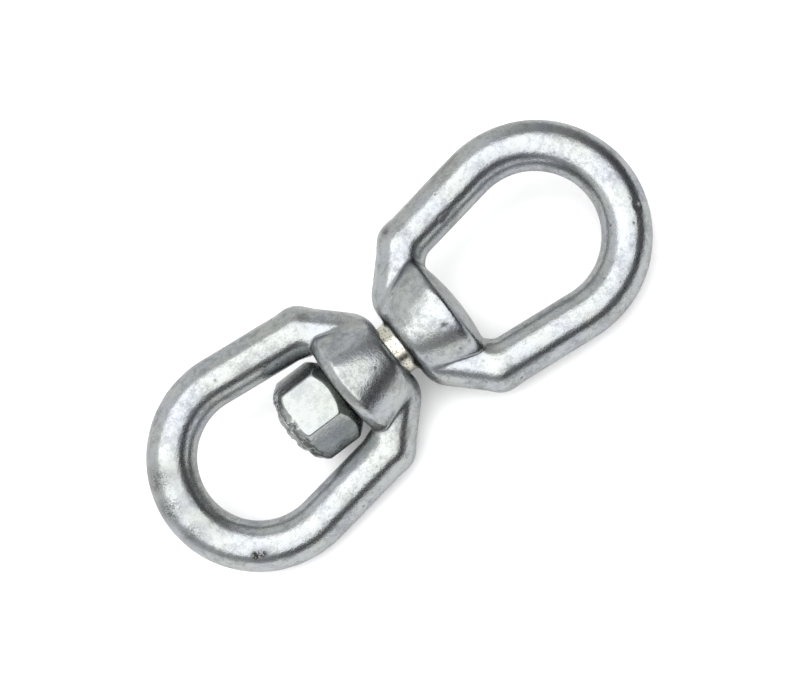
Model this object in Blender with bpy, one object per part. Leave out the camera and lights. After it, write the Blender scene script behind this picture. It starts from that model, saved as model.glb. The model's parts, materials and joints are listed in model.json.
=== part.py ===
"""Forged and galvanised anchor swivel, nominal size 1/2 in.: a bored eye, an eye with a shank, and a nut.

The swivel lies on its side on the plane Z = 0, with its axis along X and the nut towards -X. Each eye is
made in its own frame, with its plane in XY and its opening towards +X from the joint. It is then turned
to its own side of the joint and rolled about X: the bored eye until its bow touches the plane that the
bosses lie on, and the shank eye a few degrees less.
"""

import math

import bmesh
import bpy
from mathutils import Matrix

MM = 0.001

# Bar and bow, the same in both eyes
BAR_R = 6.35 * MM
BOW_R = 22.2 * MM
BOW_X = 44.6 * MM
LEG_ANGLE = math.radians(7.4)
SHOULDER_X = 17.2 * MM
ARM_ANGLE = math.radians(45.3)
ARM_END_X = 3.0 * MM
BAR_SIDES = 16
BOW_POINTS = 26

# Boss: a cone about the swivel axis, rounded over where it faces the opening
FACE_GAP = 2.4 * MM
FACE_R = 8.4 * MM
CONE_R = 9.8 * MM
CONE_SLOPE = math.radians(21.0)
NECK_EDGE = ((0.2 * MM, 9.9 * MM), (0.65 * MM, 11.3 * MM), (1.4 * MM, 12.7 * MM))
NECK_FLARE = math.radians(52.0)
THROAT_X = 19.1 * MM
THROAT_CURVE_R = 46.0 * MM
NOSE_R = 13.4 * MM
NOSE_HALF_FLAT = 6.0 * MM
NOSE_TURN = math.radians(62.0)
BOSS_STEPS = 48
DISC_STEPS = 112
NOSE_POINTS = 9
CLEAR = 4.0 * MM

# Shank, bore and nut
SHANK_R = 6.9 * MM
BORE_R = 7.3 * MM
BORE_LEAD = 0.6 * MM
SPOT_FACE_X = 17.5 * MM
SPOT_FACE_R = 12.3 * MM
NUT_HEIGHT = 15.0 * MM
NUT_ACROSS_FLATS = 20.2 * MM
NUT_CHAMFER_R = 9.0 * MM
NUT_END_R = 7.6 * MM
NUT_ROLL = math.radians(16.0)
GAP = 0.3 * MM
STEM_R = 5.7 * MM
COUNTERSINK = 1.4 * MM
PEEN_HEIGHT = 1.3 * MM
PEEN_POINTS = 5
ROUND_STEPS = 40

# How the swivel lies: on both bosses and on one side of the bored eye's bow
AXIS_HEIGHT = 15.45 * MM
BORED_EYE_ROLL = math.asin((AXIS_HEIGHT - BAR_R) / BOW_R)
SHANK_EYE_ROLL = BORED_EYE_ROLL - math.radians(5.0)


def collection(name):
    made = bpy.data.collections.new(name)
    bpy.context.scene.collection.children.link(made)
    return made


def clear_scene():
    for obj in list(bpy.data.objects):
        bpy.data.objects.remove(obj)


def material(name, colour, roughness):
    made = bpy.data.materials.new(name)
    made.use_nodes = True
    shader = made.node_tree.nodes["Principled BSDF"]
    shader.inputs["Base Color"].default_value = (*colour, 1.0)
    shader.inputs["Metallic"].default_value = 1.0
    shader.inputs["Roughness"].default_value = roughness
    return made


def arc(centre, radius, first, last, count):
    """Points on an arc in a plane, from the angle first to the angle last."""
    angles = [first + (last - first) * i / (count - 1) for i in range(count)]
    return [(centre[0] + radius * math.cos(a), centre[1] + radius * math.sin(a)) for a in angles]


def mesh_object(name, shape, home):
    """A new object from a bmesh, which is freed."""
    bmesh.ops.remove_doubles(shape, verts=shape.verts, dist=1e-6)
    bmesh.ops.recalc_face_normals(shape, faces=shape.faces)
    mesh = bpy.data.meshes.new(name)
    shape.to_mesh(mesh)
    shape.free()
    obj = bpy.data.objects.new(name, mesh)
    home.objects.link(obj)
    return obj


def turned(name, profile, axis, steps, home):
    """A solid of revolution. Profile points are (distance along the axis, radius), axis is X or Z."""
    shape = bmesh.new()
    if axis == "X":
        points = [shape.verts.new((along, 0.0, radius)) for along, radius in profile]
        direction = (1.0, 0.0, 0.0)
    else:
        points = [shape.verts.new((radius, 0.0, along)) for along, radius in profile]
        direction = (0.0, 0.0, 1.0)
    edges = [shape.edges.new(pair) for pair in zip(points, points[1:])]
    bmesh.ops.spin(
        shape,
        geom=points + edges,
        cent=(0.0, 0.0, 0.0),
        axis=direction,
        angle=math.tau,
        steps=steps,
        use_merge=True,
    )
    return mesh_object(name, shape, home)


def boolean(obj, operation, other):
    """Applies a Boolean to obj and removes the other object."""
    modifier = obj.modifiers.new(operation.title(), "BOOLEAN")
    modifier.operation = operation
    modifier.object = other
    modifier.solver = "EXACT"
    graph = bpy.context.evaluated_depsgraph_get()
    result = bpy.data.meshes.new_from_object(obj.evaluated_get(graph))
    obj.modifiers.clear()
    old = obj.data
    obj.data = result
    bpy.data.meshes.remove(old)
    bpy.data.objects.remove(other)


def eye_centreline():
    """The bar's line from inside the boss, out along an arm to the shoulder, round the bow, and back."""
    tangent_x = BOW_X - BOW_R * math.sin(LEG_ANGLE)
    tangent_y = BOW_R * math.cos(LEG_ANGLE)
    shoulder_y = tangent_y - (tangent_x - SHOULDER_X) * math.tan(LEG_ANGLE)
    arm_end_y = shoulder_y - (SHOULDER_X - ARM_END_X) * math.tan(ARM_ANGLE)
    upper = [(ARM_END_X, arm_end_y), (SHOULDER_X, shoulder_y)]
    quarter = math.pi / 2.0
    bow = arc((BOW_X, 0.0), BOW_R, quarter + LEG_ANGLE, -quarter - LEG_ANGLE, BOW_POINTS)
    lower = [(x, -y) for x, y in reversed(upper)]
    return upper + bow + lower


def bar_along(name, points, home):
    """A round bar along the points, with closed ends, as a mesh."""
    curve = bpy.data.curves.new(name, "CURVE")
    curve.dimensions = "3D"
    curve.bevel_depth = BAR_R
    curve.bevel_resolution = BAR_SIDES // 2 - 2
    curve.use_fill_caps = True
    spline = curve.splines.new("POLY")
    spline.points.add(len(points) - 1)
    for point, (x, y) in zip(spline.points, points):
        point.co = (x, y, 0.0, 1.0)
    guide = bpy.data.objects.new(name + "_guide", curve)
    home.objects.link(guide)
    graph = bpy.context.evaluated_depsgraph_get()
    shape = bmesh.new()
    shape.from_mesh(bpy.data.meshes.new_from_object(guide.evaluated_get(graph)))
    bpy.data.objects.remove(guide)
    return mesh_object(name, shape, home)


def boss(home):
    """A cone about X, cut by a round-edged disc about Z, so that the side of the opening is rounded."""
    near = FACE_GAP / 2.0
    far = THROAT_X + CLEAR
    cone = [(near, 0.0), (near, CONE_R), (far, CONE_R + (far - near) * math.tan(CONE_SLOPE)), (far, 0.0)]
    solid = turned("boss", cone, "X", BOSS_STEPS, home)
    nose_centre = THROAT_CURVE_R - NOSE_R
    lower = arc((nose_centre, -NOSE_HALF_FLAT), NOSE_R, -NOSE_TURN, 0.0, NOSE_POINTS)
    upper = arc((nose_centre, NOSE_HALF_FLAT), NOSE_R, 0.0, NOSE_TURN, NOSE_POINTS)
    rim = [(height, radius) for radius, height in lower + upper]
    profile = [(rim[0][0], 0.0)] + rim + [(rim[-1][0], 0.0)]
    disc = turned("throat_disc", profile, "Z", DISC_STEPS, home)
    disc.data.transform(Matrix.Translation((THROAT_X - THROAT_CURVE_R, 0.0, 0.0)))
    boolean(solid, "INTERSECT", disc)
    return solid


def neck_envelope(home):
    """Everything that the neck end of a forging may fill: a flat face, a rounded edge and a flare."""
    near = FACE_GAP / 2.0
    far = BOW_X + BOW_R + BAR_R + CLEAR
    edge = [(near + along, radius) for along, radius in NECK_EDGE]
    flare_r = edge[-1][1] + (far - edge[-1][0]) * math.tan(NECK_FLARE)
    profile = [(near, 0.0), (near, FACE_R), *edge, (far, flare_r), (far, 0.0)]
    return turned("neck_envelope", profile, "X", BOSS_STEPS, home)


def forged_eye(name, home):
    """One forging: the bow and its boss, with the neck end faced off."""
    eye = bar_along(name, eye_centreline(), home)
    boolean(eye, "UNION", boss(home))
    boolean(eye, "INTERSECT", neck_envelope(home))
    return eye


def bored_eye(home):
    """The eye that turns on the shank: bored through, with a seat cut flat for the nut."""
    eye = forged_eye("bored_eye", home)
    near = FACE_GAP / 2.0
    bore = [
        (near - CLEAR, 0.0),
        (near - CLEAR, BORE_R + BORE_LEAD + CLEAR),
        (near + BORE_LEAD, BORE_R),
        (SPOT_FACE_X, BORE_R),
        (SPOT_FACE_X, SPOT_FACE_R),
        (SPOT_FACE_X + NUT_HEIGHT, SPOT_FACE_R),
        (SPOT_FACE_X + NUT_HEIGHT, 0.0),
    ]
    boolean(eye, "DIFFERENCE", turned("bore_cutter", bore, "X", ROUND_STEPS, home))
    return eye


def shank_eye(home):
    """The eye forged with its shank. The shank is stepped for the nut and peened over its outer end."""
    eye = forged_eye("shank_eye", home)
    nut_base = -SPOT_FACE_X - GAP
    nut_end = nut_base - NUT_HEIGHT
    head_r = STEM_R + COUNTERSINK
    angles = [math.pi / 2.0 * i / PEEN_POINTS for i in range(PEEN_POINTS)]
    dome = [(nut_end - PEEN_HEIGHT * math.sin(a), head_r * math.cos(a)) for a in angles]
    profile = [
        (FACE_GAP / 2.0 + CLEAR, 0.0),
        (FACE_GAP / 2.0 + CLEAR, SHANK_R),
        (nut_base + GAP, SHANK_R),
        (nut_base + GAP, STEM_R),
        (nut_end + COUNTERSINK, STEM_R),
        *dome,
        (nut_end - PEEN_HEIGHT, 0.0),
    ]
    boolean(eye, "UNION", turned("shank", profile, "X", ROUND_STEPS, home))
    return eye


def lock_nut(home):
    """A tall hexagon nut, bored through and chamfered, more so at its outer end, which is countersunk."""
    base = -SPOT_FACE_X - GAP
    end = base - NUT_HEIGHT
    corner_r = NUT_ACROSS_FLATS / math.sqrt(3.0)
    shape = bmesh.new()
    bmesh.ops.create_cone(
        shape, cap_ends=True, segments=6, radius1=corner_r, radius2=corner_r, depth=NUT_HEIGHT
    )
    along_x = Matrix.Rotation(math.pi / 2.0, 4, "Y")
    place = Matrix.Translation(((base + end) / 2.0, 0.0, 0.0))
    bmesh.ops.transform(shape, matrix=place @ along_x, verts=shape.verts)
    nut = mesh_object("lock_nut", shape, home)
    outer_r = corner_r + GAP
    envelope = [
        (base, 0.0),
        (base, NUT_CHAMFER_R),
        (base - outer_r + NUT_CHAMFER_R, outer_r),
        (end + outer_r - NUT_END_R, outer_r),
        (end, NUT_END_R),
        (end, 0.0),
    ]
    boolean(nut, "INTERSECT", turned("nut_envelope", envelope, "X", ROUND_STEPS, home))
    hole_r = STEM_R + GAP
    sink_r = hole_r + COUNTERSINK
    hole = [
        (base + CLEAR, 0.0),
        (base + CLEAR, hole_r),
        (end + COUNTERSINK, hole_r),
        (end - CLEAR, sink_r + CLEAR),
        (end - CLEAR, 0.0),
    ]
    boolean(nut, "DIFFERENCE", turned("nut_bore", hole, "X", ROUND_STEPS, home))
    return nut


def finish(obj, matrix, surface):
    """Bakes the place into the mesh, then sets the material and the shading."""
    obj.data.transform(matrix)
    obj.data.materials.clear()
    obj.data.materials.append(surface)
    obj.data.shade_smooth()
    obj.data.set_sharp_from_angle(angle=math.radians(30.0))


def main():
    clear_scene()
    home = collection("anchor_swivel")
    zinc = material("galvanised_forging", (0.60, 0.62, 0.64), 0.35)
    nut_zinc = material("galvanised_nut", (0.56, 0.58, 0.58), 0.30)

    bored = bored_eye(home)
    shank = shank_eye(home)
    nut = lock_nut(home)
    bored.data.transform(Matrix.Rotation(math.pi, 4, "Z"))

    rolls = {bored: BORED_EYE_ROLL, shank: SHANK_EYE_ROLL, nut: NUT_ROLL}
    surfaces = {bored: zinc, shank: zinc, nut: nut_zinc}
    root = bpy.data.objects.new("swivel_axis", None)
    root.location = (0.0, 0.0, AXIS_HEIGHT)
    home.objects.link(root)
    for obj, roll in rolls.items():
        finish(obj, Matrix.Rotation(roll, 4, "X"), surfaces[obj])
        obj.parent = root


main()
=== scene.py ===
import json
import math

import bpy
import numpy as np
from mathutils import Matrix, Vector


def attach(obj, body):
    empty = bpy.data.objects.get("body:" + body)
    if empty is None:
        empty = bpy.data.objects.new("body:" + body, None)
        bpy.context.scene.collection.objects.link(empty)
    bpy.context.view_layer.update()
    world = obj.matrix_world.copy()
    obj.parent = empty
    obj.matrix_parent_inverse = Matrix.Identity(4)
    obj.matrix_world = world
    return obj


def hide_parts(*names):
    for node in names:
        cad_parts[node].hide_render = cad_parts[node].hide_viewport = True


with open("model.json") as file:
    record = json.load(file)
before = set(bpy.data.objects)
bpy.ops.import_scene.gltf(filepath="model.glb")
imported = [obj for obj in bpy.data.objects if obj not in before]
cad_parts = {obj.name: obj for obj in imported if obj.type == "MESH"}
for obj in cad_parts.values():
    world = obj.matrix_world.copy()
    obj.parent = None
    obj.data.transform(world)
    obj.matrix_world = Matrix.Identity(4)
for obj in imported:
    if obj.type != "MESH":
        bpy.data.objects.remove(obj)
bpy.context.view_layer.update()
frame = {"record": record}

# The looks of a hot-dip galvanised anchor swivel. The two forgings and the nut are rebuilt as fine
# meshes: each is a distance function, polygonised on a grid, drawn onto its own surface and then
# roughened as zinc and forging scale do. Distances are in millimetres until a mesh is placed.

MM = 0.001
AXIS_HEIGHT = frame["record"]["behaviour"]["joints"][0]["pos_m"][2]
BORED_BODY = "bored_eye_body"
SHANK_BODY = "shank_eye_body"

# The forgings, the shank and the nut. A bow is its centre's x, its radius, and its lean to one side
BAR_R = 6.35
BORED_BOW = (44.15, 22.05, 0.0)
SHANK_BOW = (44.15, 23.1, 0.014)
LEG_ANGLE = math.radians(7.4)
SHOULDER_X = 17.2
ARM_ANGLE = math.radians(45.3)
ARM_END_X = 3.0
FACE_X = 1.2
CONE_R = 9.8
CONE_SLOPE = math.radians(21.0)
CONE_CROWN = 0.6
CONE_LENGTH = 15.3
BOSS_WIDTH = 1.04
THROAT_X = 19.3
THROAT_CURVE_R = 58.0
NOSE_HALF_FLAT = 3.5
BORED_RAKE = math.radians(9.0)
SHANK_RAKE = math.radians(16.0)
SEAT_CHAMFER = (15.3, 15.3)
SEAT_CHAMFER_SLOPE = math.radians(35.0)
SHANK_R = 6.9
BORE_R = 7.3
BORE_LEAD = 0.6
SPOT_FACE_X = 17.5
SPOT_FACE_R = 12.3
GAP = 0.3
STEM_R = 5.7
COUNTERSINK = 1.4
PEEN_HEIGHT = 1.3
NUT_HEIGHT = 15.0
NUT_ACROSS_FLATS = 20.8
NUT_CHAMFER_R = 9.0
END_BEVEL = 2.2
END_BEVEL_SLOPE = math.radians(36.0)
END_RAGGED = 0.6

# How they lie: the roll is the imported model's, from its own bow
PACKED_BOW_R = 22.2
BORED_EYE_ROLL = math.asin((AXIS_HEIGHT / MM - BAR_R) / PACKED_BOW_R)
SHANK_EYE_ROLL = BORED_EYE_ROLL - math.radians(5.0)
NUT_ROLL = math.radians(16.0)
NUT_TILT = math.radians(1.5)

# Rounding where surfaces meet
SHOULDER_BLEND = 0.9
BOSS_BLEND = 0.8
NOSE_EDGE = 2.4
NOSE_BLEND = 2.0
NECK_EDGE = 2.6
CUT_EDGE = 0.5
SHANK_BLEND = 1.2
NUT_EDGE = 0.45

# Zinc, its two faint tints, the painted shade in the crevices between arms and boss, and the dirt at the
# battered end of the nut
FORGING_LIGHT = (0.345, 0.36, 0.36)
FORGING_DARK = (0.22, 0.23, 0.235)
NUT_LIGHT = (0.31, 0.325, 0.32)
NUT_DARK = (0.25, 0.265, 0.26)
COOL = (0.965, 0.97, 1.035)
WARM = (1.01, 1.01, 0.965)
CREVICE_WIDTH = 0.7
CREVICE_SHADE = 0.3
END_DIRT = 0.7
END_ROUGHNESS = 0.18
HAMMERED = 0.14
HAMMER_SIZE = 1.4
PEEN_START = -32.9
BARE_DARK = (0.20, 0.19, 0.15)
BARE_LIGHT = (0.50, 0.49, 0.42)
# The dark colour for real stains, pits and dirt, and for the painted shade in the crevices
DIRT_AND_SHADE = (0.035, 0.034, 0.03, 1.0)
EDGE_TINT = (0.68, 0.68, 0.68, 1.0)
FORGING_ROUGHNESS = 0.24
NUT_ROUGHNESS = 0.20

# Noise and pit scales of the zinc, in cells per metre, and the share of cells that hold a pit
TINT_SCALE = 95.0
PATCH_SCALE = 150.0
MOTTLE_SCALE = 620.0
SPECK_SCALE = 2000.0
PIT_SCALE = 420.0
PIT_SHARE = 0.12
BUMP_STRENGTH = 0.22
BUMP_DEPTH = 0.0004

# Relief of the skin, as heights and sizes, and the seeds of its noise
FORGING_RELIEF = ((0.05, 12.0), (0.016, 3.2), (0.008, 1.1))
NUT_RELIEF = ((0.03, 5.0), (0.010, 1.0))
NUT_END_SIZE = 0.9
END_STAIN_SIZE = 0.8
END_RAGGED_SIZE = 1.5
BORED_EYE_SEED = 11
SHANK_EYE_SEED = 31
NUT_SEED = 51

# Single marks on each eye: centre, width, depth and darkness
BORED_EYE_DENTS = (
    ((40.0, -21.1, 6.3), 0.35, 0.14, 0.9),
    ((58.7, 18.8, 6.1), 1.3, 0.07, 1.5),
    ((57.2, 19.5, 5.9), 1.2, 0.06, 1.3),
    ((19.9, 18.9, 6.3), 0.4, 0.08, 0.8),
    ((22.1, 20.0, 6.3), 0.3, 0.06, 0.7),
    ((20.8, 20.3, 6.0), 0.25, 0.06, 0.7),
    ((66.5, -10.6, 5.7), 3.6, 0.03, 0.75),
    ((68.7, -3.0, 5.7), 3.8, 0.03, 0.75),
    ((67.8, 5.0, 5.7), 3.6, 0.03, 0.65),
    ((14.3, -20.2, 5.8), 1.2, 0.03, 0.5),
)
SHANK_EYE_DENTS = (
    ((12.0, -5.0, 13.6), 0.55, 0.20, 0.95),
    ((67.8, -10.1, 5.6), 0.85, 0.26, 0.75),
    ((68.9, -9.9, 5.1), 0.45, -0.18, 0.0),
    ((28.5, 17.8, 5.2), 0.7, 0.24, 0.8),
    ((30.2, 18.0, 5.3), 0.5, 0.2, 0.8),
    ((15.5, 24.0, 4.7), 1.3, 0.04, 0.8),
    ((16.2, 21.8, 6.2), 0.6, 0.05, 0.5),
    ((60.4, 13.0, 5.8), 0.35, 0.08, 0.8),
)

# Grid steps, and the boxes that the grids fill
EYE_STEP = 0.4
NUT_STEP = 0.26
BORED_EYE_LOW_X = -1.0
SHANK_EYE_LOW_X = -36.0
EYE_HIGH = (75.0, 31.0, 18.0)
NUT_LOW = (-34.5, -12.6, -12.6)
NUT_HIGH = (-17.0, 12.6, 12.6)

# Light: a wide softbox overhead, and studio walls that only the metal shows
SOFTBOX_DISTANCE = 700.0
SOFTBOX_LENGTH = 1650.0
SOFTBOX_WIDTH = 1150.0
SOFTBOX_POWER = 11.6
LEAN_ACROSS = math.radians(10.0)
LEAN_BACK = math.radians(3.5)
PALE_SIDE = Vector((-0.637, 0.770, 0.0))
WALLS = ((0.25, (0.06, 0.06, 0.07)), (0.40, (0.40, 0.40, 0.41)), (0.60, (0.62, 0.63, 0.64)),
         (0.88, (1.30, 1.31, 1.32)))
FLOOR_TONE = 0.95
FLOOR_ROUGHNESS = 0.6
FLOOR_GLOW = 0.07
FLOOR_HALF_SIZE = 3000.0

# A pale panel that stands on the floor outside the picture: place to the right and up, size and glow
PANEL_PLACE = (-60.0, 130.0)
PANEL_SIZE = (130.0, 190.0)
PANEL_COLOUR = (1.0, 1.0, 0.98, 1.0)
PANEL_GLOW = 1.1

# The camera: nearly straight above the bored eye's plane
CAMERA_DISTANCE = 350.14
CAMERA_LENS = 63.0
CAMERA_SENSOR = 36.0
CAMERA_LEAN = math.radians(3.5)
AXIS_TURN = math.radians(38.4)
AIM_RIGHT = 0.6
AIM_UP = 0.7


# ---------------------------------------------------------------- distance functions


def blend_union(a, b, k):
    """The lesser of two distances, with a fillet about k wide."""
    h = np.maximum(k - np.abs(a - b), 0.0) / k
    return np.minimum(a, b) - h * h * k * 0.25


def blend_cut(a, b, k):
    """The greater of two distances, with the edge rounded over about k."""
    return -blend_union(-a, -b, k)


def segment(u, v, start, end):
    """Distance in a plane from the points (u, v) to a segment."""
    du, dv = end[0] - start[0], end[1] - start[1]
    t = ((u - start[0]) * du + (v - start[1]) * dv) / (du * du + dv * dv)
    t = np.clip(t, 0.0, 1.0)
    return np.hypot(u - start[0] - t * du, v - start[1] - t * dv)


def bow_points(bow):
    """The bar's tangent point, shoulder and arm end, on the side where y is positive."""
    tangent = (bow[0] - bow[1] * math.sin(LEG_ANGLE), bow[1] * math.cos(LEG_ANGLE))
    shoulder_y = tangent[1] - (tangent[0] - SHOULDER_X) * math.tan(LEG_ANGLE)
    arm_end_y = shoulder_y - (SHOULDER_X - ARM_END_X) * math.tan(ARM_ANGLE)
    return tangent, (SHOULDER_X, shoulder_y), (ARM_END_X, arm_end_y)


def bar(x, y, z, bow):
    """The round bar of an eye, with its legs and arms."""
    tangent, shoulder, arm_end = bow_points(bow)
    side = np.abs(y - bow[2] * x)
    turn = np.arctan2(side, x - bow[0])
    arc = np.abs(np.hypot(x - bow[0], side) - bow[1])
    arc = np.where(turn <= math.pi / 2.0 + LEG_ANGLE, arc, 1e3)
    loop = np.hypot(np.minimum(arc, segment(x, side, tangent, shoulder)), z) - BAR_R
    arm = np.hypot(segment(x, side, shoulder, arm_end), z) - BAR_R
    return blend_union(loop, arm, SHOULDER_BLEND)


def boss(x, y, z, rake):
    """A crowned cone about the axis, a little wider than high, with a raked wall at the opening."""
    along = x - FACE_X
    crown = 4.0 * CONE_CROWN * along * (CONE_LENGTH - along) / CONE_LENGTH ** 2
    cone = np.hypot(y / BOSS_WIDTH, z) - CONE_R - along * math.tan(CONE_SLOPE) - crown
    cone = np.maximum(cone * math.cos(CONE_SLOPE), -along)
    wall = np.hypot(x - THROAT_X + THROAT_CURVE_R, y) - THROAT_CURVE_R
    raked = wall * math.cos(rake) + (np.abs(z) - NOSE_HALF_FLAT) * math.sin(rake)
    return blend_cut(cone, blend_cut(wall, raked, NOSE_BLEND), NOSE_EDGE)


def forging(arms, body, x):
    """A bow and its boss joined, with the neck end faced off and its edge rounded."""
    return blend_cut(blend_union(arms, body, BOSS_BLEND), FACE_X - x, NECK_EDGE)


def bored_eye(p):
    """The eye with the through bore, a lead at its neck and a flat seat for the nut."""
    x, y, z = p[:, 0], p[:, 1], p[:, 2]
    r = np.hypot(y, z)
    chamfer = r - SEAT_CHAMFER[1] + (x - SEAT_CHAMFER[0]) * math.tan(SEAT_CHAMFER_SLOPE)
    turned = blend_cut(boss(x, y, z, BORED_RAKE), chamfer * math.cos(SEAT_CHAMFER_SLOPE), CUT_EDGE)
    solid = forging(bar(x, y, z, BORED_BOW), turned, x)
    seat = np.maximum(r - SPOT_FACE_R, SPOT_FACE_X - x)
    lead = (r - BORE_R - BORE_LEAD + (x - FACE_X)) * math.sqrt(0.5)
    hole = np.minimum(np.minimum(r - BORE_R, lead), seat)
    hole = np.maximum(hole, x - BORED_BOW[0])
    return blend_cut(solid, -hole, CUT_EDGE)


def shank_eye(p):
    """The eye with the shank, stepped down for the nut and peened over its end."""
    x, y, z = p[:, 0], p[:, 1], p[:, 2]
    r = np.hypot(y, z)
    solid = forging(bar(x, y, z, SHANK_BOW), boss(x, y, z, SHANK_RAKE), x)
    nut_base = -SPOT_FACE_X - GAP
    nut_end = nut_base - NUT_HEIGHT
    shank = blend_cut(np.maximum(r - SHANK_R, x - FACE_X - 6.0), nut_base + GAP - x, CUT_EDGE)
    stem = np.maximum(np.maximum(r - STEM_R, x), nut_end - x)
    sink = (r - STEM_R - COUNTERSINK + (x - nut_end)) * math.sqrt(0.5)
    head_r = STEM_R + COUNTERSINK
    dome = np.hypot(np.minimum(x - nut_end, 0.0) * head_r / PEEN_HEIGHT, r) - head_r
    head = blend_cut(blend_cut(sink, dome, CUT_EDGE), x - nut_end - COUNTERSINK, CUT_EDGE)
    rod = np.minimum(shank, np.minimum(stem, head))
    return blend_union(solid, rod, SHANK_BLEND)


def lock_nut(p):
    """The hexagon nut, chamfered at its base and ragged at its outer end."""
    x, y, z = p[:, 0], p[:, 1], p[:, 2]
    r = np.hypot(y, z)
    base = -SPOT_FACE_X - GAP
    middle = base - NUT_HEIGHT / 2.0
    hexagon = np.full_like(r, -1e3)
    for k in range(3):
        normal = math.radians(90.0 + 60.0 * k)
        flat = np.abs(y * math.cos(normal) + z * math.sin(normal)) - NUT_ACROSS_FLATS / 2.0
        hexagon = blend_cut(hexagon, flat, NUT_EDGE)
    along = np.abs(x - middle) - NUT_HEIGHT / 2.0
    chamfer = (r - NUT_CHAMFER_R + along) * math.sqrt(0.5)
    ragged = END_BEVEL + END_RAGGED * smooth_noise(p, END_RAGGED_SIZE, NUT_SEED + 2)
    bevel = hexagon + (ragged - (x - base + NUT_HEIGHT)) * math.tan(END_BEVEL_SLOPE)
    body = blend_cut(hexagon, bevel * math.cos(END_BEVEL_SLOPE), CUT_EDGE)
    body = blend_cut(blend_cut(body, chamfer, NUT_EDGE), along, NUT_EDGE)
    hole = r - STEM_R - GAP
    sink = (r - STEM_R - GAP - COUNTERSINK + (x - base + NUT_HEIGHT)) * math.sqrt(0.5)
    return blend_cut(body, -np.minimum(hole, sink), NUT_EDGE)


# ---------------------------------------------------------------- meshing


def surface_net(field, low, step):
    """A quad mesh of the grid's zero surface, one vertex in each cell that the surface crosses."""
    inside = field < 0.0
    counts = sum(
        inside[i:i - 1 or None, j:j - 1 or None, k:k - 1 or None].astype(np.int8)
        for i in (0, 1) for j in (0, 1) for k in (0, 1)
    )
    cells = np.argwhere((counts > 0) & (counts < 8))
    number = np.full(counts.shape, -1, dtype=np.int64)
    number[tuple(cells.T)] = np.arange(len(cells))
    total = np.zeros((len(cells), 3))
    crossings = np.zeros((len(cells), 1))
    for axis in range(3):
        others = [a for a in range(3) if a != axis]
        for first in (0, 1):
            for second in (0, 1):
                start = np.zeros(3, dtype=int)
                start[others[0]], start[others[1]] = first, second
                end = start.copy()
                end[axis] = 1
                a = field[tuple((cells + start).T)]
                b = field[tuple((cells + end).T)]
                hit = (a < 0.0) != (b < 0.0)
                t = np.where(hit, a / np.where(hit, a - b, 1.0), 0.0)[:, None]
                total += np.where(hit[:, None], start + t * (end - start), 0.0)
                crossings += hit[:, None]
    points = low + step * (cells + total / crossings)
    quads = []
    for axis in range(3):
        one, two = [a for a in range(3) if a != axis]
        before = [slice(None)] * 3
        after = [slice(None)] * 3
        before[axis], after[axis] = slice(0, -1), slice(1, None)
        a, b = inside[tuple(before)], inside[tuple(after)]
        edges = np.argwhere(a != b)
        edges = edges[(edges[:, one] > 0) & (edges[:, two] > 0)]
        leaving = a[tuple(edges.T)]
        step_one, step_two = np.zeros(3, dtype=int), np.zeros(3, dtype=int)
        step_one[one], step_two[two] = 1, 1
        ring = [edges, edges - step_one, edges - step_one - step_two, edges - step_two]
        quad = np.stack([number[tuple(corner.T)] for corner in ring], axis=1)
        flip = leaving if axis == 1 else ~leaving
        quad[flip] = quad[flip][:, ::-1]
        quads.append(quad)
    return points, np.concatenate(quads)


def slope(shape, points, reach=0.02):
    """The gradient of a distance function, by differences over the corners of a tetrahedron."""
    total = np.zeros_like(points)
    for corner in ((1, 1, 1), (1, -1, -1), (-1, 1, -1), (-1, -1, 1)):
        corner = np.array(corner, dtype=float)
        total += corner * shape(points + reach * corner)[:, None]
    return total / (4.0 * reach)


def polygonise(shape, low, high, step):
    """The zero surface of a distance function inside a box, with its vertices drawn onto it."""
    low, high = np.array(low, dtype=float), np.array(high, dtype=float)
    counts = np.ceil((high - low) / step).astype(int) + 1
    axes = [low[a] + step * np.arange(counts[a]) for a in range(3)]
    slabs = []
    for x in axes[0]:
        y, z = np.meshgrid(axes[1], axes[2], indexing="ij")
        slab = np.stack([np.full(y.size, x), y.ravel(), z.ravel()], axis=1)
        slabs.append(shape(slab).reshape(y.shape))
    points, quads = surface_net(np.stack(slabs), low, step)
    for _ in range(4):
        gradient = slope(shape, points)
        steep = np.maximum((gradient ** 2).sum(axis=1), 0.2)
        move = (shape(points) / steep)[:, None] * gradient
        points = points - np.clip(move, -step, step)
    return points, quads


def smooth_noise(points, size, seed):
    """Smooth random values from -1 to 1 that change over the given size."""
    cells = 24
    lattice = np.random.RandomState(seed).uniform(-1.0, 1.0, (cells, cells, cells))
    p = points / size + 100.0
    base = np.floor(p).astype(int)
    f = p - base
    f = f * f * f * (f * (f * 6.0 - 15.0) + 10.0)
    value = np.zeros(len(points))
    for i in (0, 1):
        for j in (0, 1):
            for k in (0, 1):
                weight = np.abs(1 - i - f[:, 0]) * np.abs(1 - j - f[:, 1]) * np.abs(1 - k - f[:, 2])
                corner = (base + (i, j, k)) % cells
                value += weight * lattice[corner[:, 0], corner[:, 1], corner[:, 2]]
    return value


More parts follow.
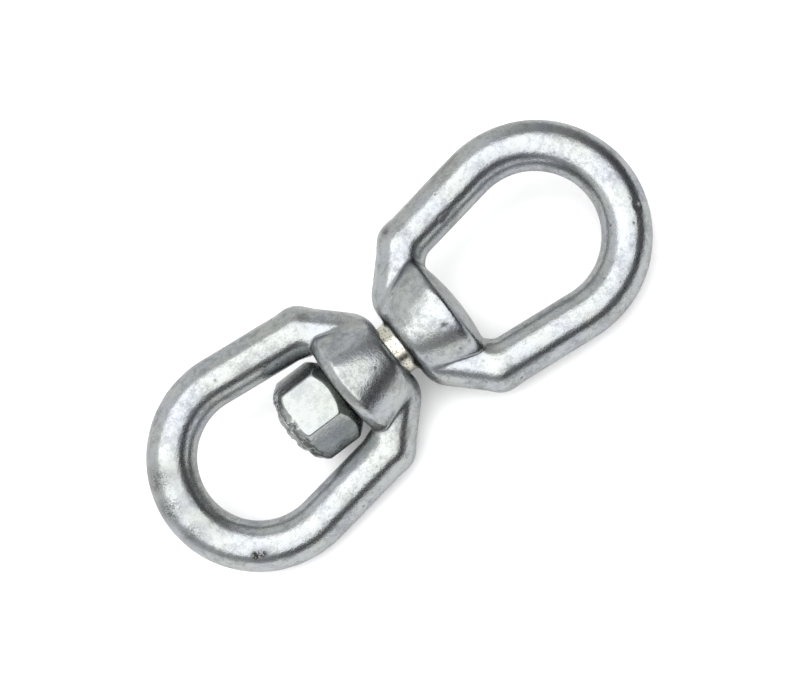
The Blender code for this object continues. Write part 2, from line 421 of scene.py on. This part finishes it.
def build(name, points, quads, shades, place, surface, body, node):
    """A mesh object from points in millimetres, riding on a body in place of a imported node.

    Shades are the point attributes that its material reads, by name.
    """
    mesh = bpy.data.meshes.new(name)
    mesh.vertices.add(len(points))
    mesh.vertices.foreach_set("co", (points * MM).astype(np.float32).ravel())
    mesh.loops.add(quads.size)
    mesh.loops.foreach_set("vertex_index", quads.ravel().astype(np.int32))
    mesh.polygons.add(len(quads))
    mesh.polygons.foreach_set("loop_start", np.arange(0, quads.size, 4, dtype=np.int32))
    mesh.update(calc_edges=True)
    mesh.validate()
    for label, values in shades.items():
        layer = mesh.attributes.new(label, "FLOAT", "POINT")
        layer.data.foreach_set("value", values.astype(np.float32))
    mesh.transform(place)
    mesh.shade_smooth()
    mesh.materials.append(surface)
    obj = bpy.data.objects.new(name, mesh)
    bpy.context.scene.collection.objects.link(obj)
    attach(obj, body)
    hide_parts(node)


def placed(roll, half_turn=False):
    """From a piece's own frame to where it lies."""
    lift = Matrix.Translation((0.0, 0.0, AXIS_HEIGHT))
    turn = Matrix.Rotation(math.pi if half_turn else 0.0, 4, "Z")
    return lift @ Matrix.Rotation(roll, 4, "X") @ turn


# ---------------------------------------------------------------- surface relief


def skin(points, relief, seed):
    """Height of a dipped skin, as layers of noise, from slow swell to fine grain."""
    return sum(height * smooth_noise(points, size, seed + i) for i, (height, size) in enumerate(relief))


def spot(points, centre, width):
    """1 at a point on the surface, falling to 0 over the given width."""
    distance = np.linalg.norm(points - np.array(centre), axis=1)
    return np.exp(-((distance / width) ** 2))


def marks(points, dents):
    """Height and darkness of small marks, each a centre, a width, a depth and a darkness."""
    height = np.zeros(len(points))
    stain_and_shade = np.zeros(len(points))
    for centre, width, depth, darkness in dents:
        here = spot(points, centre, width)
        height -= depth * here
        stain_and_shade = np.maximum(stain_and_shade, darkness * here)
    return height, stain_and_shade


# ---------------------------------------------------------------- materials


class Nodes:
    """Adds shader nodes to a new material and links them."""

    def __init__(self, name):
        self.material = bpy.data.materials.new(name)
        self.material.use_nodes = True
        self.tree = self.material.node_tree
        self.shader = self.tree.nodes["Principled BSDF"]

    def add(self, kind, values=None, **settings):
        node = self.tree.nodes.new(kind)
        for key, value in settings.items():
            setattr(node, key, value)
        for key, value in (values or {}).items():
            if isinstance(value, bpy.types.NodeSocket):
                self.tree.links.new(value, node.inputs[key])
            else:
                node.inputs[key].default_value = value
        return node

    def link(self, socket, name):
        self.tree.links.new(socket, self.shader.inputs[name])

    def noise(self, vector, scale, detail=4.0, rough=0.55):
        made = self.add("ShaderNodeTexNoise", {"Vector": vector, "Scale": scale, "Detail": detail,
                                                "Roughness": rough})
        return made.outputs["Fac"]

    def ramp(self, factor, stops):
        made = self.add("ShaderNodeValToRGB", {"Fac": factor})
        elements = made.color_ramp.elements
        while len(elements) < len(stops):
            elements.new(0.5)
        for element, (position, colour) in zip(elements, stops):
            element.position = position
            element.color = (*colour, 1.0) if isinstance(colour, tuple) else (colour, colour, colour, 1.0)
        return made.outputs["Color"]

    def math(self, operation, *values):
        return self.add("ShaderNodeMath", dict(enumerate(values)), operation=operation).outputs[0]

    def mix(self, blend, factor, a, b):
        made = self.add("ShaderNodeMix", {0: factor, 6: a, 7: b}, data_type="RGBA", blend_type=blend)
        return made.outputs[2]

    def attribute(self, label):
        return self.add("ShaderNodeAttribute", attribute_name=label).outputs["Fac"]


def zinc(name, light, dark, roughness):
    """Hot-dip zinc: mottled grey metal with fine grain, pits, duller patches, stains and painted crevice
    shade.
    """
    n = Nodes(name)
    where = n.add("ShaderNodeTexCoord").outputs["Object"]
    patches = n.noise(where, PATCH_SCALE, 5.0, 0.6)
    mottle = n.noise(where, MOTTLE_SCALE, 4.0, 0.62)
    specks = n.noise(where, SPECK_SCALE, 2.0, 0.6)
    tone = n.math("MULTIPLY_ADD", patches, 0.4, n.math("MULTIPLY_ADD", mottle, 0.35,
                  n.math("MULTIPLY", specks, 0.25)))
    metal = n.ramp(tone, [(0.40, dark), (0.53, light)])
    hue = n.noise(where, TINT_SCALE, 3.0, 0.5)
    tint = n.ramp(hue, [(0.38, COOL), (0.5, (1.0, 1.0, 1.0)), (0.62, WARM)])
    metal = n.mix("MULTIPLY", 0.8, metal, tint)
    pit = n.add("ShaderNodeTexVoronoi", {"Vector": where, "Scale": PIT_SCALE})
    chance = n.add("ShaderNodeSeparateColor", {"Color": pit.outputs["Color"]}).outputs["Red"]
    chosen = n.math("LESS_THAN", chance, PIT_SHARE)
    pits = n.math("MULTIPLY", n.ramp(pit.outputs["Distance"], [(0.08, 1.0), (0.24, 0.0)]), chosen)
    bare = n.ramp(specks, [(0.38, BARE_DARK), (0.46, BARE_LIGHT)])
    metal = n.mix("MIX", n.attribute("bare"), metal, bare)
    # Darkening from the stain attribute (real stains, the dirty nut end, and painted shade in the
    # crevices), broken up by specks, plus dark pits
    speckle_mask = n.math("MULTIPLY_ADD", specks, 0.6, n.math("MULTIPLY", mottle, 0.4))
    dirt_and_shade = n.math("MULTIPLY", n.attribute("stain_and_shade"), n.ramp(speckle_mask, [(0.45, 0.12), (0.53, 1.0)]))
    dirt_and_shade = n.math("MAXIMUM", n.math("MULTIPLY", pits, 0.55), dirt_and_shade)
    n.link(n.mix("MIX", dirt_and_shade, metal, DIRT_AND_SHADE), "Base Color")
    rough = n.ramp(tone, [(0.38, roughness + 0.10), (0.56, roughness)])
    n.link(n.math("MULTIPLY_ADD", dirt_and_shade, 0.25, rough), "Roughness")
    n.shader.inputs["Metallic"].default_value = 1.0
    n.shader.inputs["Specular Tint"].default_value = EDGE_TINT
    height = n.math("MULTIPLY_ADD", mottle, 0.8, n.math("MULTIPLY", specks, 0.28))
    height = n.math("SUBTRACT", height, n.math("MULTIPLY", pits, 0.4))
    bump = n.add("ShaderNodeBump", {"Height": height, "Strength": BUMP_STRENGTH,
                                    "Distance": BUMP_DEPTH})
    n.link(bump.outputs["Normal"], "Normal")
    return n.material


# ---------------------------------------------------------------- pieces


def crevice(points, bow):
    """How near each point is to the valley between an eye's arms and its boss, from 0 to 1."""
    x, y, z = points[:, 0], points[:, 1], points[:, 2]
    apart = np.maximum(np.abs(bar(x, y, z, bow)), np.abs(boss(x, y, z, SHANK_RAKE)))
    return np.clip(1.0 - apart / CREVICE_WIDTH, 0.0, 1.0)


def make_eye(name, shape, low_x, bow, dents, seed, place, surface, body, node):
    low = (low_x, -EYE_HIGH[1], -EYE_HIGH[2])
    points, quads = polygonise(shape, low, EYE_HIGH, EYE_STEP)
    height, stain_and_shade = marks(points, dents)
    height += skin(points, FORGING_RELIEF, seed)
    x, r = points[:, 0], np.hypot(points[:, 1], points[:, 2])
    rubbed = np.clip((FACE_X + 0.1 - x) * 8.0, 0.0, 1.0) * np.clip((x + 4.0) * 2.0, 0.0, 1.0)
    shades = {
        "bare": rubbed * (r < BORE_R) * (r > STEM_R),
        # Darkening: real stains at the dents, plus painted shade in the valley between the arms and the
        # boss
        "stain_and_shade": np.maximum(stain_and_shade, CREVICE_SHADE * crevice(points, bow)),
    }
    height += HAMMERED * (x < PEEN_START) * smooth_noise(points, HAMMER_SIZE, seed + 6)
    points = points + slope(shape, points) * height[:, None]
    build(name, points, quads, shades, place, surface, body, node)


def make_eyes(surface):
    make_eye("bored_eye_forging", bored_eye, BORED_EYE_LOW_X, BORED_BOW, BORED_EYE_DENTS, BORED_EYE_SEED,
             placed(BORED_EYE_ROLL, True), surface, BORED_BODY, "bored_eye")
    make_eye("shank_eye_forging", shank_eye, SHANK_EYE_LOW_X, SHANK_BOW, SHANK_EYE_DENTS, SHANK_EYE_SEED,
             placed(SHANK_EYE_ROLL), surface, SHANK_BODY, "shank_eye")


def make_nut(surface):
    """The nut, leaning a little on its seat as the battered one does."""
    points, quads = polygonise(lock_nut, NUT_LOW, NUT_HIGH, NUT_STEP)
    end = np.clip((GAP - SPOT_FACE_X - NUT_HEIGHT + END_BEVEL - points[:, 0]) / END_BEVEL, 0.0, 1.0)
    height = skin(points, NUT_RELIEF, NUT_SEED)
    height += end * END_ROUGHNESS * smooth_noise(points, NUT_END_SIZE, NUT_SEED + 3)
    blots = smooth_noise(points, END_STAIN_SIZE, NUT_SEED + 4)
    shades = {
        "bare": np.zeros(len(points)),
        "stain_and_shade": END_DIRT * end * np.clip(0.5 + blots, 0.0, 1.0),
    }
    points = points + slope(lock_nut, points) * height[:, None]
    seat = Matrix.Translation(((-SPOT_FACE_X - GAP) * MM, 0.0, 0.0))
    tilt = seat @ Matrix.Rotation(-NUT_TILT, 4, "Z") @ seat.inverted()
    build("lock_nut_hexagon", points, quads, shades, tilt @ placed(NUT_ROLL), surface, SHANK_BODY,
          "lock_nut")


# ---------------------------------------------------------------- camera, floor and light


def view_frame():
    """The camera's right, up and back directions."""
    lean = BORED_EYE_ROLL + CAMERA_LEAN
    back = Vector((0.0, -math.sin(lean), math.cos(lean)))
    along = Vector((1.0, 0.0, 0.0))
    across = back.cross(along)
    right = math.cos(AXIS_TURN) * along - math.sin(AXIS_TURN) * across
    up = math.sin(AXIS_TURN) * along + math.cos(AXIS_TURN) * across
    return right, up, back


def make_camera():
    right, up, back = view_frame()
    data = bpy.data.cameras.new("camera")
    data.sensor_width = CAMERA_SENSOR
    data.lens = CAMERA_LENS
    camera = bpy.data.objects.new("camera", data)
    bpy.context.scene.collection.objects.link(camera)
    place = Matrix((right, up, back)).transposed().to_4x4()
    aim = Vector((0.0, 0.0, AXIS_HEIGHT)) + (right * AIM_RIGHT + up * AIM_UP) * MM
    place.translation = aim + back * CAMERA_DISTANCE * MM
    camera.matrix_world = place
    bpy.context.scene.camera = camera


def make_floor():
    n = Nodes("pale_floor")
    n.shader.inputs["Base Color"].default_value = (FLOOR_TONE, FLOOR_TONE, FLOOR_TONE, 1.0)
    n.shader.inputs["Roughness"].default_value = FLOOR_ROUGHNESS
    n.shader.inputs["Emission Color"].default_value = (1.0, 1.0, 1.0, 1.0)
    n.shader.inputs["Emission Strength"].default_value = FLOOR_GLOW
    mesh = bpy.data.meshes.new("floor")
    size = FLOOR_HALF_SIZE * MM
    mesh.from_pydata([(-size, -size, 0.0), (size, -size, 0.0), (size, size, 0.0), (-size, size, 0.0)],
                     [], [(0, 1, 2, 3)])
    mesh.materials.append(n.material)
    floor = bpy.data.objects.new("floor", mesh)
    bpy.context.scene.collection.objects.link(floor)


def make_panel():
    """A pale panel beyond the top left of the picture, facing the swivel."""
    right, up, _ = view_frame()
    n = Nodes("pale_panel")
    n.shader.inputs["Base Color"].default_value = (0.0, 0.0, 0.0, 1.0)
    n.shader.inputs["Emission Color"].default_value = PANEL_COLOUR
    n.shader.inputs["Emission Strength"].default_value = PANEL_GLOW
    away = right * PANEL_PLACE[0] + up * PANEL_PLACE[1]
    foot = Vector((away.x, away.y, 0.0)) * MM
    side = Vector((-foot.y, foot.x, 0.0)).normalized() * (PANEL_SIZE[0] * MM / 2.0)
    top = Vector((0.0, 0.0, PANEL_SIZE[1] * MM))
    mesh = bpy.data.meshes.new("panel")
    mesh.from_pydata([foot - side, foot + side, foot + side + top, foot - side + top], [], [(0, 1, 2, 3)])
    mesh.materials.append(n.material)
    panel = bpy.data.objects.new("panel", mesh)
    bpy.context.scene.collection.objects.link(panel)


def make_walls():
    """A world that is pale on one side and dark on the other."""
    world = bpy.data.worlds.new("studio")
    world.use_nodes = True
    tree = world.node_tree
    where = tree.nodes.new("ShaderNodeTexCoord")
    side = tree.nodes.new("ShaderNodeVectorMath")
    side.operation = "DOT_PRODUCT"
    side.inputs[1].default_value = PALE_SIDE
    share = tree.nodes.new("ShaderNodeMapRange")
    share.inputs["From Min"].default_value = -1.0
    ramp = tree.nodes.new("ShaderNodeValToRGB")
    while len(ramp.color_ramp.elements) < len(WALLS):
        ramp.color_ramp.elements.new(0.5)
    for element, (position, colour) in zip(ramp.color_ramp.elements, WALLS):
        element.position, element.color = position, (*colour, 1.0)
    tree.links.new(where.outputs["Generated"], side.inputs[0])
    tree.links.new(side.outputs["Value"], share.inputs["Value"])
    tree.links.new(share.outputs["Result"], ramp.inputs["Fac"])
    tree.links.new(ramp.outputs["Color"], tree.nodes["Background"].inputs["Color"])
    bpy.context.scene.world = world


def make_softbox():
    """An oval softbox above the swivel, long along its axis, leaning back from the camera's side."""
    _, _, back = view_frame()
    along = Vector((1.0, 0.0, 0.0))
    across = back.cross(along).normalized()
    facing = back + across * math.tan(LEAN_ACROSS) - along * math.tan(LEAN_BACK)
    facing.normalize()
    side = (along - along.dot(facing) * facing).normalized()
    data = bpy.data.lights.new("softbox", "AREA")
    data.shape = "ELLIPSE"
    data.size, data.size_y = SOFTBOX_LENGTH * MM, SOFTBOX_WIDTH * MM
    data.energy = SOFTBOX_POWER
    light = bpy.data.objects.new("softbox", data)
    bpy.context.scene.collection.objects.link(light)
    place = Matrix((side, facing.cross(side), facing)).transposed().to_4x4()
    place.translation = Vector((0.0, 0.0, AXIS_HEIGHT)) + facing * SOFTBOX_DISTANCE * MM
    light.matrix_world = place


def main():
    bpy.context.scene.view_settings.view_transform = "Standard"
    make_camera()
    make_floor()
    make_panel()
    make_walls()
    make_softbox()
    make_eyes(zinc("galvanised_forging", FORGING_LIGHT, FORGING_DARK, FORGING_ROUGHNESS))
    make_nut(zinc("galvanised_nut", NUT_LIGHT, NUT_DARK, NUT_ROUGHNESS))


main()
